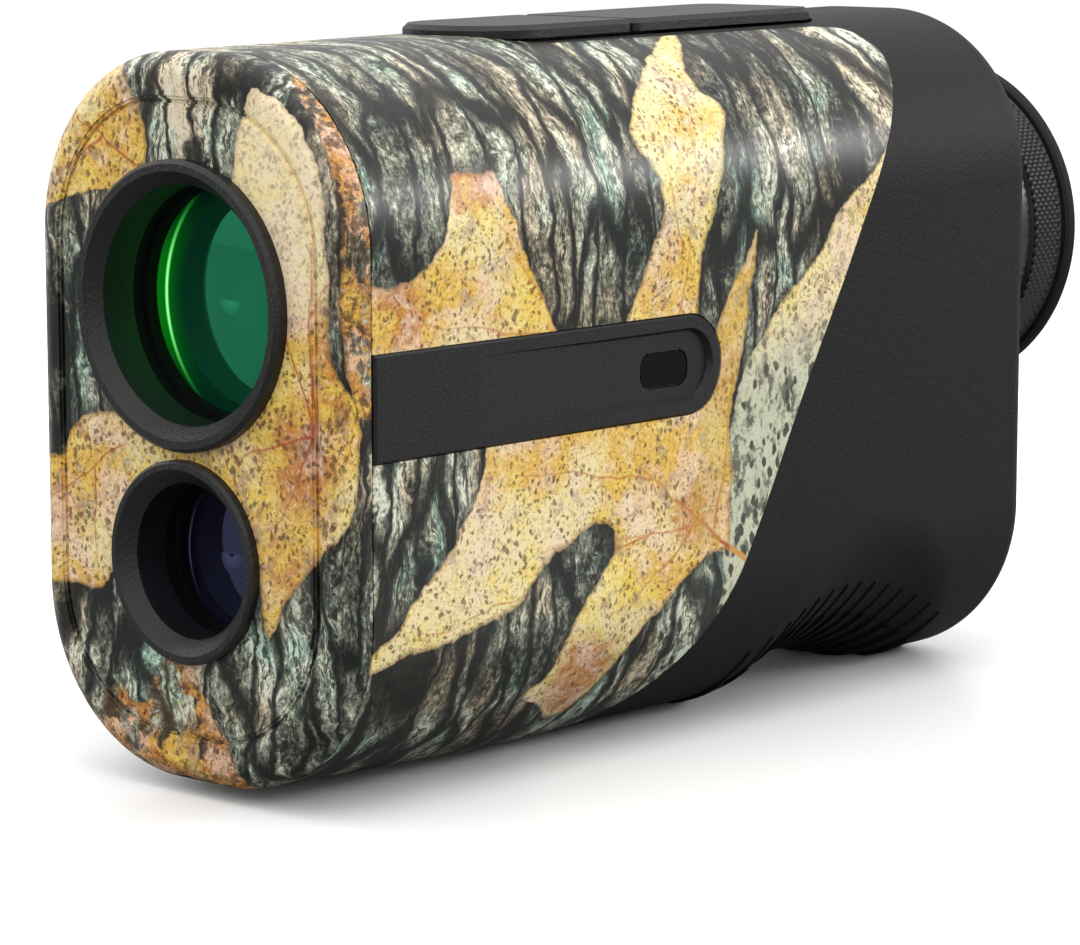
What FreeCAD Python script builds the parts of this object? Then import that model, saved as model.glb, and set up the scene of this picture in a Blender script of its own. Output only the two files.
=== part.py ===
"""Hand-held laser rangefinder: a monocular with a printed casing, a black grip and a turning eyepiece.

Row frame, millimetres: +Z up, the objectives face -Y and the eyepiece faces +Y.
The origin is under the middle of the body, on the surface that it stands on.
Each separate piece of the object is one node, written to parts/NODE.step.
"""

import FreeCAD
import Part
import math
import os

Vec = FreeCAD.Vector

# ---------------------------------------------------------------- driving dimensions
LENGTH = 121.6
CORNER_R = 17.8
WALL = 2.0

FRONT_RIM_Y = -LENGTH / 2
EYECUP_END_Y = LENGTH / 2
PANEL_Y = FRONT_RIM_Y + 1.4  # front panel, the plane behind the lens rims
FRONT_EDGE_R = 2.4
SEAM_Y = PANEL_Y + 3.7  # where the front cover meets the casing
GRIP_END_Y = 44.4  # where the rear cover meets the grip
REAR_Y = 48.2
REAR_EDGE_R = 3.0

# Half width, bottom and top of the body at three stations along Y, with straight lines between them.
FRONT_SECTION = (PANEL_Y, 21.0, 1.2, 70.8)
BELLY_SECTION = (-30.0, 21.1, -0.04, 71.3)
REAR_SECTION = (REAR_Y, 21.4, -0.04, 72.2)
REST_Z = 0.0  # the belly is shaved flat here, so that it stands
PANEL_MID_Z = 36.1

VIEW_Z = 47.2  # axis shared by the upper objective and the eyepiece
RECEIVE_Z = 22.8  # axis of the lower lens

# ---------------------------------------------------------------- the grip's boundary and the finger scoop
SPINE_FRONT_Y = -18.0
SPINE_FRONT_Z = 70.55
SPINE_REAR_Y = 24.0
SPINE_REAR_Z = 70.9
BOUNDARY = [
    (SPINE_REAR_Y, SPINE_REAR_Z), (26.4, 70.75), (28.5, 70.1), (29.2, 68.6), (28.2, 66.4), (25.7, 63.2),
    (21.6, 57.8),
    (15.4, 47.1), (8.5, 35.4), (2.0, 23.6), (-5.6, 11.8), (-11.8, 5.2), (-17.0, 1.4), (-21.0, -2.5),
]
SCOOP_Y = 21.5
SCOOP_ARC_R = 40.0
SCOOP_THROAT_R = 22.2
SCOOP_CENTRE_Z = 24.6
SCOOP_EDGE_R = 9.0  # the scoop's rim is rounded off
RIDGE_HEIGHT = 0.36
RIDGE_WIDTH = 0.7
RIDGE_PITCH = 2.6
RIDGE_COUNT = 14
RIDGE_FIRST_Y = 3.5
RIDGE_TOP_Z = 12.0
RIDGE_TAPER = 4.0

# ---------------------------------------------------------------- buttons on top
PAD_FRONT_Y = -25.5
PAD_REAR_Y = 27.0
PAD_SPLIT_Y = -3.8
PAD_HALF_WIDTH = 8.0
PAD_FRONT_R = 7.0
PAD_REAR_R = 3.0
CAP_LOW = -0.35  # heights from the top of the body
CAP_HIGH = 0.95
BUTTON_TRAVEL = 0.5
BUTTON_GAP = 0.3
STEM_R = 2.4
STEM_HOLE_R = 2.8
STEM_LENGTH = 8.0

# ---------------------------------------------------------------- side strip and the port in it
STRIP_LOW_Z = 33.7
STRIP_HIGH_Z = 43.95
STRIP_TIP_Y = -5.6
STRIP_DEPTH = 1.2
STRIP_FACE_X = 21.25
PORT_Y = -14.0
PORT_Z = 38.6
PORT_LENGTH = 7.3
PORT_HEIGHT = 3.7

# ---------------------------------------------------------------- eyepiece
BARREL_R = 14.0
BARREL_END_Y = 55.5
RING_FRONT_Y = 50.8
RING_R = 17.2
BAND_R = 17.9  # the band that the fingers turn
BAND_FRONT_Y = 54.2
RING_REAR_Y = 59.2
EYECUP_R = 18.8
FIT = 0.05  # radial clearance of a running fit

# ---------------------------------------------------------------- screws and the main board
REAR_SCREWS = [(-14.2, 62.4), (14.2, 62.4), (-13.0, 13.0), (13.0, 13.0)]
FRAME_SCREWS = [(-8.5, -21.9), (8.5, -21.9), (-8.5, 22.5), (8.5, 22.5)]
BOARD_SCREWS = [(-22.0, 12.0), (30.0, 12.0)]
BOARD_X = 12.2
BOARD_THICK = 1.2
SWITCH_BOARD_TOP = 58.8
FAR = 200.0  # longer than anything here, for cutting tools


# ---------------------------------------------------------------- helpers
def rounded_face(width, low_z, high_z, radius, y):
    """A rectangle with round corners, in the plane at y, centred on x = 0."""
    half = width / 2
    corners = ((half, high_z, 0), (-half, high_z, 90), (-half, low_z, 180), (half, low_z, 270))
    edges = []
    last = None
    for x, z, start in corners:
        centre = Vec(x - math.copysign(radius, x), y, z - math.copysign(radius, z - (low_z + high_z) / 2))
        points = [
            centre + Vec(radius * math.cos(math.radians(a)), 0, radius * math.sin(math.radians(a)))
            for a in (start, start + 45, start + 90)
        ]
        if last is None:
            first = points[0]
        elif (points[0] - last).Length > 1e-6:
            edges.append(Part.LineSegment(last, points[0]).toShape())
        edges.append(Part.Arc(*points).toShape())
        last = points[2]
    if (first - last).Length > 1e-6:
        edges.append(Part.LineSegment(last, first).toShape())
    return Part.Face(Part.Wire(edges))


def rounded_block(width, low_z, high_z, radius, y0, y1):
    """rounded_face swept along Y from y0 to y1."""
    return rounded_face(width, low_z, high_z, radius, y0).extrude(Vec(0, y1 - y0, 0))


def body_size(y):
    """Half width, bottom and top of the body at y. Beyond its ends the outer lines run straight on."""
    a, b = (FRONT_SECTION, BELLY_SECTION) if y < BELLY_SECTION[0] else (BELLY_SECTION, REAR_SECTION)
    share = (y - a[0]) / (b[0] - a[0])
    return [start + (end - start) * share for start, end in zip(a[1:], b[1:])]


def body_top(y):
    return body_size(y)[2]


def body_block(inset, y0, y1):
    """The body's outline, moved in by inset, lofted from y0 to y1."""
    stations = [y for y in (y0, BELLY_SECTION[0], y1) if y0 <= y <= y1]
    wires = []
    for y in stations:
        half, low, high = body_size(y)
        face = rounded_face(2 * (half - inset), low + inset, high - inset, CORNER_R - inset, y)
        wires.append(face.OuterWire)
    return Part.makeLoft(wires, True, True)


def rod(radius, y0, y1, z, x=0.0):
    """A cylinder along Y."""
    return Part.makeCylinder(radius, y1 - y0, Vec(x, y0, z), Vec(0, 1, 0))


def tube(outer, inner, y0, y1, z, x=0.0):
    """A hollow cylinder along Y."""
    return rod(outer, y0, y1, z, x).cut(rod(inner, y0 - 1, y1 + 1, z, x))


def cone(r0, r1, y0, y1, z):
    """A cone along Y, of radius r0 at y0 and r1 at y1."""
    return Part.makeCone(r0, r1, y1 - y0, Vec(0, y0, z), Vec(0, 1, 0))


def box(x0, x1, y0, y1, z0, z1):
    """An upright box between two corners."""
    return Part.makeBox(x1 - x0, y1 - y0, z1 - z0, Vec(x0, y0, z0))


def turned(profile, z):
    """A solid turned about the Y axis at height z, from (radius, y) points."""
    points = [Vec(r, y, z) for r, y in profile]
    wire = Part.makePolygon(points + [points[0]])
    return Part.Face(wire).revolve(Vec(0, 0, z), Vec(0, 1, 0), 360)


def lens(radius, front_bulge, rear_bulge, y0, y1, z):
    """A lens along Y whose rims lie at y0 and y1. A positive bulge stands out, a negative one is hollow."""
    front_tip, rear_tip = Vec(0, y0 - front_bulge, z), Vec(0, y1 + rear_bulge, z)
    front_rim, rear_rim = Vec(radius, y0, z), Vec(radius, y1, z)

    def meridian(tip, rim, side):
        bulge = abs(tip.y - rim.y)
        if bulge < 1e-6:
            return Part.LineSegment(tip, rim).toShape()
        sphere_r = (radius * radius + bulge * bulge) / (2 * bulge)
        half = math.asin(radius / sphere_r) / 2
        along = sphere_r * (1 - math.cos(half))
        middle = Vec(sphere_r * math.sin(half), tip.y + side * along, z)
        return Part.Arc(tip, middle, rim).toShape()

    edges = [
        meridian(front_tip, front_rim, 1 if front_bulge > 0 else -1),
        Part.LineSegment(front_rim, rear_rim).toShape(),
        meridian(rear_tip, rear_rim, -1 if rear_bulge > 0 else 1),
        Part.LineSegment(rear_tip, front_tip).toShape(),
    ]
    return Part.Face(Part.Wire(Part.__sortEdges__(edges))).revolve(Vec(0, 0, z), Vec(0, 1, 0), 360)


def stadium(y0, y1, z0, z1, radius, x0, x1):
    """A rectangle with round corners in the YZ plane, swept along X."""
    flat = rounded_block(y1 - y0, z0, z1, radius, 0, x1 - x0)
    flat.rotate(Vec(0, 0, 0), Vec(0, 0, 1), -90)
    flat.translate(Vec(x0, (y0 + y1) / 2, 0))
    return flat


def plan_pad(y0, y1, half_width, front_r, rear_r, z0, z1):
    """A plate seen from above: corners of radius front_r at y0 and rear_r at y1, swept from z0 to z1."""
    w = half_width
    k = math.sqrt(0.5)
    f, r = front_r, rear_r
    parts = [
        ((w, y0 + f), (w, y1 - r)),
        ((w, y1 - r), (w - r + r * k, y1 - r + r * k), (w - r, y1)),
        ((w - r, y1), (-w + r, y1)),
        ((-w + r, y1), (-w + r - r * k, y1 - r + r * k), (-w, y1 - r)),
        ((-w, y1 - r), (-w, y0 + f)),
        ((-w, y0 + f), (-w + f - f * k, y0 + f - f * k), (-w + f, y0)),
        ((-w + f, y0), (w - f, y0)),
        ((w - f, y0), (w - f + f * k, y0 + f - f * k), (w, y0 + f)),
    ]
    edges = []
    for part in parts:
        points = [Vec(x, y, z0) for x, y in part]
        if (points[-1] - points[0]).Length > 1e-6:
            edges.append((Part.Arc if len(points) == 3 else Part.LineSegment)(*points).toShape())
    return Part.Face(Part.Wire(edges)).extrude(Vec(0, 0, z1 - z0))


def rounded_off(shape, radius, wanted):
    """Fillets the edges that wanted(edge) picks."""
    return shape.makeFillet(radius, [e for e in shape.Edges if wanted(e)])


def bevelled(shape, size, wanted):
    """Chamfers the edges that wanted(edge) picks."""
    return shape.makeChamfer(size, [e for e in shape.Edges if wanted(e)])


def flat_at(axis, value):
    """Picks the edges that lie in the plane axis = value."""
    low, high = axis + "Min", axis + "Max"
    return lambda e: abs(getattr(e.BoundBox, low) - value) < 1e-3 and abs(getattr(e.BoundBox, high) - value) < 1e-3


def screw(x, y, z, direction, head_r, head_h, shank_r, length):
    """A cap screw whose head stands on (x, y, z), with its shank along direction."""
    at, way = Vec(x, y, z), Vec(*direction)
    head = Part.makeCylinder(head_r, head_h, at - way * head_h, way)
    socket = Part.makeCylinder(head_r * 0.5, head_h * 0.6, at - way * head_h, way)
    return head.cut(socket).fuse(Part.makeCylinder(shank_r, length, at, way))


NODES = {}


def node(name, *solids):
    """Keeps the solids of one node, to be written at the end."""
    NODES[name] = solids[0] if len(solids) == 1 else Part.makeCompound(list(solids))


# ---------------------------------------------------------------- outer shells
def grip_region():
    """Everything behind the grip's boundary and above its spine, across the whole width."""
    curve = Part.BSplineCurve()
    curve.interpolate([Vec(-FAR / 2, y, z) for y, z in BOUNDARY])
    start, end = Vec(-FAR / 2, *BOUNDARY[0]), Vec(-FAR / 2, *BOUNDARY[-1])
    rest = [
        end,
        Vec(-FAR / 2, FAR, end.z),
        Vec(-FAR / 2, FAR, FAR),
        Vec(-FAR / 2, SPINE_FRONT_Y, FAR),
        Vec(-FAR / 2, SPINE_FRONT_Y, SPINE_FRONT_Z),
        start,
    ]
    edges = [curve.toShape()] + [Part.LineSegment(p, q).toShape() for p, q in zip(rest, rest[1:])]
    return Part.Face(Part.Wire(Part.__sortEdges__(edges))).extrude(Vec(FAR, 0, 0))


def scoop(grow):
    """The saddle that the fingers lie in: the lower half of a ring. grow moves its surface into the body."""
    ring = Part.makeTorus(
        SCOOP_THROAT_R + SCOOP_ARC_R, SCOOP_ARC_R + grow, Vec(0, SCOOP_Y, SCOOP_CENTRE_Z), Vec(0, 1, 0)
    )
    return ring.common(box(-FAR, FAR, -FAR, FAR, -FAR, SCOOP_CENTRE_Z))


def on_scoop(edge, grow):
    """True if an edge lies on the scoop's surface."""
    span = edge.LastParameter - edge.FirstParameter
    for share in (0.1, 0.3, 0.5, 0.7, 0.9):
        point = edge.valueAt(edge.FirstParameter + span * share)
        out = math.hypot(point.x, point.z - SCOOP_CENTRE_Z) - SCOOP_THROAT_R - SCOOP_ARC_R
        if abs(math.hypot(out, point.y - SCOOP_Y) - SCOOP_ARC_R - grow) > 0.02:
            return False
    return True


def scooped(inset, y0, y1):
    """The body's outline, moved in by inset, with the finger scoop taken out of it and its rim rounded."""
    block = body_block(inset, y0, y1).cut(scoop(inset))
    return rounded_off(block, SCOOP_EDGE_R - inset, lambda e: on_scoop(e, inset))


def underfoot():
    """Everything below the plane that the body stands on."""
    return box(-FAR, FAR, -FAR, FAR, -5, REST_Z)


def body_shell():
    """The casing and grip as one wall, before they are parted."""
    outer = scooped(0, SEAM_Y, GRIP_END_Y).cut(underfoot())
    inner = scooped(WALL, SEAM_Y - 1, GRIP_END_Y + 1)
    return outer.cut(inner)


def finger_ridges():
    """Thin ribs across the scoop, each along the body's outline. Up the side they step down and end in a point."""
    last_y = RIDGE_FIRST_Y + RIDGE_COUNT * RIDGE_PITCH
    core = scooped(WALL / 2, RIDGE_FIRST_Y - 4, last_y + 2)
    high = scooped(-RIDGE_HEIGHT, RIDGE_FIRST_Y - 2, last_y).cut(core)
    low = scooped(-RIDGE_HEIGHT / 2, RIDGE_FIRST_Y - 2, last_y).cut(core)
    ribs = []
    for i in range(RIDGE_COUNT):
        y0 = RIDGE_FIRST_Y + i * RIDGE_PITCH
        y1 = y0 + RIDGE_WIDTH
        middle = (y0 + y1) / 2
        top = 4.0 + (RIDGE_TOP_Z - 4.0) * math.sin(math.pi * (i + 2.0) / (RIDGE_COUNT + 2.5))
        shoulder = top - RIDGE_TAPER
        side = [
            (y0 + 0.05, 0.03), (y1 - 0.05, 0.03), (y1 - 0.05, shoulder + 1.0),
            (middle + 0.04, top), (middle - 0.04, top), (y0 + 0.05, shoulder + 1.0),
        ]
        outline = Part.makePolygon([Vec(-FAR / 2, a, b) for a, b in side + side[:1]])
        ribs.append(high.common(box(-FAR / 2, FAR / 2, y0, y1, 0.03, shoulder)))
        ribs.append(low.common(Part.Face(outline).extrude(Vec(FAR, 0, 0))))
    return ribs


def build_shells():
    shell = body_shell().cut(pad_plate(0.35, -1.6, 3.0))
    for y in button_centres():
        shell = shell.cut(Part.makeCylinder(STEM_HOLE_R, 10, Vec(0, y, body_top(y) - 6), Vec(0, 0, 1)))
    region = grip_region()
    casing = shell.cut(region)
    port_hole = stadium(
        PORT_Y - PORT_LENGTH / 2 + 0.4, PORT_Y + PORT_LENGTH / 2 - 0.4,
        PORT_Z - PORT_HEIGHT / 2 + 0.4, PORT_Z + PORT_HEIGHT / 2 - 0.4, 1.2, STRIP_FACE_X - 4, STRIP_FACE_X + 1,
    )
    groove = body_block(0.55, SEAM_Y, SEAM_Y + 0.8).cut(body_block(1.45, SEAM_Y - 1, SEAM_Y + 2))
    casing = casing.cut(strip_outline(STRIP_FACE_X - STRIP_DEPTH, STRIP_FACE_X + 1, 0))
    node("main_casing", casing.cut(port_hole).cut(groove))
    gasket = body_block(0.6, SEAM_Y + 0.02, SEAM_Y + 0.78).cut(body_block(1.4, SEAM_Y - 1, SEAM_Y + 2))
    node("front_gasket", gasket.cut(strip_outline(STRIP_FACE_X - STRIP_DEPTH, STRIP_FACE_X + 1, 0)))
    node("rear_grip", shell.common(region).fuse(finger_ridges()).removeSplitter())


def build_front_cover():
    cover = body_block(0, PANEL_Y, SEAM_Y)
    cover = rounded_off(cover, FRONT_EDGE_R, flat_at("Y", PANEL_Y))
    cover = cover.cut(body_block(-1, SEAM_Y - 0.22, SEAM_Y + 1).cut(body_block(0.3, SEAM_Y - 1, SEAM_Y + 2)))
    hollow = body_block(WALL + 2.4, PANEL_Y + 2.0, SEAM_Y + 1)
    hollow = hollow.fuse(body_block(WALL, SEAM_Y - 0.8, SEAM_Y + 1))
    line_out = rounded_block(35.0, PANEL_MID_Z - 30.4, PANEL_MID_Z + 30.4, 14.2, PANEL_Y - 1, PANEL_Y + 0.5)
    line_in = rounded_block(34.2, PANEL_MID_Z - 30.0, PANEL_MID_Z + 30.0, 13.8, PANEL_Y - 1, PANEL_Y + 0.5)
    lip_out = rounded_block(35.6, PANEL_MID_Z - 30.7, PANEL_MID_Z + 30.7, 14.5, PANEL_Y - 1, PANEL_Y + 0.18)
    lip_in = rounded_block(33.6, PANEL_MID_Z - 29.7, PANEL_MID_Z + 29.7, 13.5, PANEL_Y - 1, PANEL_Y + 0.18)
    cover = cover.cut(hollow).cut(line_out.cut(line_in)).cut(lip_out.cut(lip_in))
    cover = cover.cut(rod(12.9, PANEL_Y - 1, SEAM_Y, VIEW_Z)).cut(rod(9.0, PANEL_Y - 1, SEAM_Y, RECEIVE_Z))
    node("front_cover", cover)


def build_rear_cover():
    plate = body_block(0, GRIP_END_Y, REAR_Y)
    plate = rounded_off(plate, REAR_EDGE_R, flat_at("Y", REAR_Y))
    lip = body_block(WALL + 0.15, GRIP_END_Y - 2.0, GRIP_END_Y + 0.5)
    lip = lip.cut(body_block(WALL + 1.6, GRIP_END_Y - 3, GRIP_END_Y + 1.0))
    boss = cone(17.6, 16.6, REAR_Y - 0.5, REAR_Y + 2.3, VIEW_Z)
    plate = plate.cut(underfoot()).fuse([lip, boss]).removeSplitter()
    plate = plate.cut(rod(BARREL_R + 0.6, GRIP_END_Y - 3, REAR_Y + 5, VIEW_Z))
    for x, z in REAR_SCREWS:
        plate = plate.cut(rod(1.7, REAR_Y - 1.0, REAR_Y + 1, z, x)).cut(rod(0.87, GRIP_END_Y - 3, REAR_Y, z, x))
    node("rear_cover", plate)
    node("rear_screws", *[
        screw(x, REAR_Y - 0.98, z, (0, -1, 0), 1.6, 0.9, 0.85, 6.0) for x, z in REAR_SCREWS
    ])


# ---------------------------------------------------------------- side strip and charging port
def strip_outline(x0, x1, clear):
    """The strip's outline in the YZ plane: square at the front seam and round at its tip."""
    radius = (STRIP_HIGH_Z - STRIP_LOW_Z) / 2 - clear
    low, high, tip = STRIP_LOW_Z + clear, STRIP_HIGH_Z - clear, STRIP_TIP_Y - clear
    bar = box(x0, x1, SEAM_Y + clear, tip - radius, low, high)
    end = Part.makeCylinder(radius, x1 - x0, Vec(x0, tip - radius, (low + high) / 2), Vec(1, 0, 0))
    return bar.fuse(end).removeSplitter()


def strip_wire(x, margin):
    """The strip's outline moved in by margin, in the plane at x, from a little way behind the seam."""
    low, high, tip, start = STRIP_LOW_Z + margin, STRIP_HIGH_Z - margin, STRIP_TIP_Y - margin, SEAM_Y + 8
    radius = (high - low) / 2
    points = [Vec(x, start, low), Vec(x, tip - radius, low), Vec(x, tip, low + radius)]
    points += [Vec(x, tip - radius, high), Vec(x, start, high)]
    return Part.Wire([
        Part.LineSegment(points[0], points[1]).toShape(),
        Part.Arc(*points[1:4]).toShape(),
        Part.LineSegment(points[3], points[4]).toShape(),
        Part.LineSegment(points[4], points[0]).toShape(),
    ])


def build_side_strip():
    face = STRIP_FACE_X
    strip = strip_outline(face - STRIP_DEPTH + 0.02, face, 0.06)
    strip = bevelled(strip, 0.25, flat_at("X", face))
    margin, deep, slope = 1.8, 0.6, 0.4
    inner = Part.Face(strip_wire(face - 2, margin)).extrude(Vec(3, 0, 0))
    flare = Part.makeLoft([strip_wire(face - deep, margin), strip_wire(face + 0.1, margin - slope)], True, True)
    inner = inner.fuse(flare)
    wedge = Part.Face(Part.makePolygon([
        Vec(face, SEAM_Y + 14, 0),
        Vec(face + 1, SEAM_Y + 14, 0),
        Vec(face + 1, STRIP_TIP_Y, 0),
        Vec(face - deep, STRIP_TIP_Y, 0),
        Vec(face - deep, STRIP_TIP_Y - 18, 0),
        Vec(face, SEAM_Y + 14, 0),
    ])).extrude(Vec(0, 0, FAR))
    strip = strip.cut(inner.common(wedge))
    strip = strip.cut(stadium(
        PORT_Y - PORT_LENGTH / 2, PORT_Y + PORT_LENGTH / 2,
        PORT_Z - PORT_HEIGHT / 2, PORT_Z + PORT_HEIGHT / 2, 1.5, face - 3, face + 1,
    ))
    node("side_strip", strip)

    cap = stadium(
        PORT_Y - PORT_LENGTH / 2 + 0.15, PORT_Y + PORT_LENGTH / 2 - 0.15,
        PORT_Z - PORT_HEIGHT / 2 + 0.15, PORT_Z + PORT_HEIGHT / 2 - 0.15, 1.35,
        face - STRIP_DEPTH + 0.17, face - deep - 0.05,
    )
    tongue = stadium(PORT_Y - 2.9, PORT_Y + 2.9, PORT_Z - 0.65, PORT_Z + 0.65, 0.6, face - 4.2, face - 1.0)
    node("port_plug", cap.fuse(tongue).removeSplitter())

    outer = stadium(
        PORT_Y - 3.9, PORT_Y + 3.9, PORT_Z - 1.6, PORT_Z + 1.6, 1.2, BOARD_X + BOARD_THICK, face - WALL - 0.3
    )
    mouth = stadium(PORT_Y - 3.2, PORT_Y + 3.2, PORT_Z - 0.95, PORT_Z + 0.95, 0.8, face - 6.0, face)
    node("usb_socket", outer.cut(mouth))


# ---------------------------------------------------------------- buttons
def button_centres():
    return (PAD_FRONT_Y + PAD_SPLIT_Y) / 2, (PAD_SPLIT_Y + PAD_REAR_Y) / 2


def laid_on_top(shape):
    """Moves a shape built about z = 0 onto the body's sloping top line."""
    slope = (REAR_SECTION[3] - BELLY_SECTION[3]) / (REAR_SECTION[0] - BELLY_SECTION[0])
    shape.rotate(Vec(0, 0, 0), Vec(1, 0, 0), math.degrees(math.atan(slope)))
    shape.translate(Vec(0, 0, body_top(0)))
    return shape


def pad_plate(grow, z0, z1):
    """The outline of both buttons together, moved out by grow."""
    return laid_on_top(plan_pad(
        PAD_FRONT_Y - grow, PAD_REAR_Y + grow, PAD_HALF_WIDTH + grow, PAD_FRONT_R + grow, PAD_REAR_R + grow, z0, z1
    ))


def build_buttons():
    base = pad_plate(0.3, -1.58, CAP_LOW - BUTTON_TRAVEL - 0.1)
    spans = (
        (PAD_FRONT_Y, PAD_SPLIT_Y - BUTTON_GAP / 2, PAD_FRONT_R, 0.9),
        (PAD_SPLIT_Y + BUTTON_GAP / 2, PAD_REAR_Y, 0.9, PAD_REAR_R),
    )
    board_top = SWITCH_BOARD_TOP
    membranes = []
    for name, switch, y, span in zip(
        ("mode_button", "power_button"), ("mode_switch", "power_switch"), button_centres(), spans
    ):
        y0, y1, front_r, rear_r = span
        cap = plan_pad(y0, y1, PAD_HALF_WIDTH, front_r, rear_r, CAP_LOW, CAP_HIGH)
        cap = bevelled(cap, 0.5, flat_at("Z", CAP_HIGH))
        low = body_top(y) + CAP_HIGH - STEM_LENGTH
        stem = Part.makeCylinder(STEM_R, STEM_LENGTH - 1.0, Vec(0, y, low), Vec(0, 0, 1))
        node(name, laid_on_top(cap).fuse(stem).removeSplitter())
        base = base.cut(Part.makeCylinder(STEM_HOLE_R, 10, Vec(0, y, body_top(y) - 6), Vec(0, 0, 1)))
        case = box(-3, 3, y - 3, y + 3, board_top, board_top + 2.2)
        sheet_low = low - BUTTON_TRAVEL - 0.7
        plunger = Part.makeCylinder(1.7, sheet_low - board_top - 2.3, Vec(0, y, board_top + 2.2), Vec(0, 0, 1))
        node(switch, case.fuse(plunger))
        membranes.append(Part.makeCylinder(5.5, 0.6, Vec(0, y, sheet_low), Vec(0, 0, 1)))
    node("button_base", base)
    node("button_board", box(-6, 6, -23, 24, board_top - 1.0, board_top))
    node("button_membranes", *membranes)


# ---------------------------------------------------------------- upper optics
def build_objective():
    z = VIEW_Z
    node("objective_bezel", turned([
        (12.7, FRONT_RIM_Y), (13.4, FRONT_RIM_Y), (13.8, FRONT_RIM_Y + 0.4), (13.8, PANEL_Y - 0.02),
        (12.85, PANEL_Y - 0.02), (12.85, PANEL_Y + 4.0), (11.4, PANEL_Y + 4.0), (11.4, FRONT_RIM_Y + 1.5),
    ], z))
    node("objective_barrel", turned([
        (11.4, PANEL_Y + 4.1), (13.4, PANEL_Y + 4.1), (13.4, -45.0), (14.4, -45.0), (14.4, -43.0),
        (13.4, -43.0), (13.4, -24.0), (9.0, -24.0), (9.0, -25.5), (11.9, -25.5), (11.9, -48.2),
        (10.6, -48.2), (10.6, -48.9), (11.9, -48.9), (11.9, -54.1), (11.4, -54.1),
    ], z))
    node("objective_lens", lens(11.85, 0.9, 0.5, -52.6, -49.0, z))
    node("objective_retainer", tube(11.85, 10.9, -54.0, -52.8, z))
    node("objective_baffle", turned([(8.2, -37.0), (11.85, -37.4), (11.85, -36.4), (8.2, -36.4)], z))
    node("objective_rear_lens", lens(11.85, 0.5, -0.5, -34.6, -31.8, z))
    node("objective_seal", tube(12.85, 11.95, PANEL_Y + 3.99 + 0.02, PANEL_Y + 4.09, z))


def build_prisms():
    """A roof prism pair: a half pentaprism, an air gap, and a roof prism behind it."""
    z = VIEW_Z
    half = 9.0

    def wedge(points):
        face = Part.Face(Part.makePolygon([Vec(-half, y, h) for y, h in points + points[:1]]))
        return face.extrude(Vec(2 * half, 0, 0))

    node("front_prism", wedge([(-20, z + 9), (-20, z - 9), (-9.5, z - 9), (-1.5, z + 9)]))
    node("rear_prism", wedge([(-9.0, z - 9), (12.0, z - 9), (12.0, z + 4.0), (8.5, z + 9), (-1.0, z + 9)]))
    clip = box(-7, 7, -17, 9, z + 9.05, z + 9.55).cut(box(-4, 4, -12, 4, z + 9, z + 10))
    node("prism_clip", clip)


def build_frame():
    """The optical frame: two bulkheads and a shelf that carries the prisms."""
    z = VIEW_Z
    front = body_block(WALL + 0.3, -42.9, -40.5)
    front = front.cut(rod(13.45, -50, -30, z)).cut(rod(9.25, -50, -30, RECEIVE_Z))
    front = front.cut(box(14.2, 30, -50, -30, 8, 62)).cut(box(-30, -14.2, -50, -30, 8, 62))
    shelf = box(-11.5, 11.5, -40.5, 41.0, z - 11.6, z - 9.05)
    shelf = shelf.cut(rod(13.45, -50, -23.9, z)).cut(rod(12.65, 25.9, 50, z))
    rear = box(-15.0, 15.0, 38.5, 41.0, 32.0, 62.0)
    shelf = shelf.cut(rod(BARREL_R + 0.05, 33.9, 50, z))
    rear = rear.cut(rod(BARREL_R + 0.05, 30, 50, z))
    walls = [box(s * 10.6 - 0.9, s * 10.6 + 0.9, -20, 12, z - 9.1, z + 3) for s in (-1, 1)]
    frame = front.fuse([shelf, rear, *walls]).removeSplitter()
    for x, y in FRAME_SCREWS:
        frame = frame.cut(Part.makeCylinder(0.9, 6, Vec(x, y, z - 12), Vec(0, 0, 1)))
    node("optical_frame", frame)
    node("frame_screws", *[
        screw(x, y, z - 11.65, (0, 0, 1), 1.7, 1.0, 0.85, 2.6) for x, y in FRAME_SCREWS
    ])


def build_display():
    z = VIEW_Z
    node("display_panel", box(-8, 8, 16.0, 17.6, z - 8, z + 8))
    frame = box(-10, 10, 14.5, 19.5, z - 9.0, z + 9.8).cut(box(-8.05, 8.05, 15.9, 17.7, z - 8.05, z + 20))
    node("display_holder", frame.cut(rod(7.0, 10, 30, z)))
    node("display_flex", box(-4, 4, 19.6, 19.8, z - 8.9, z + 10.2))


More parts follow.
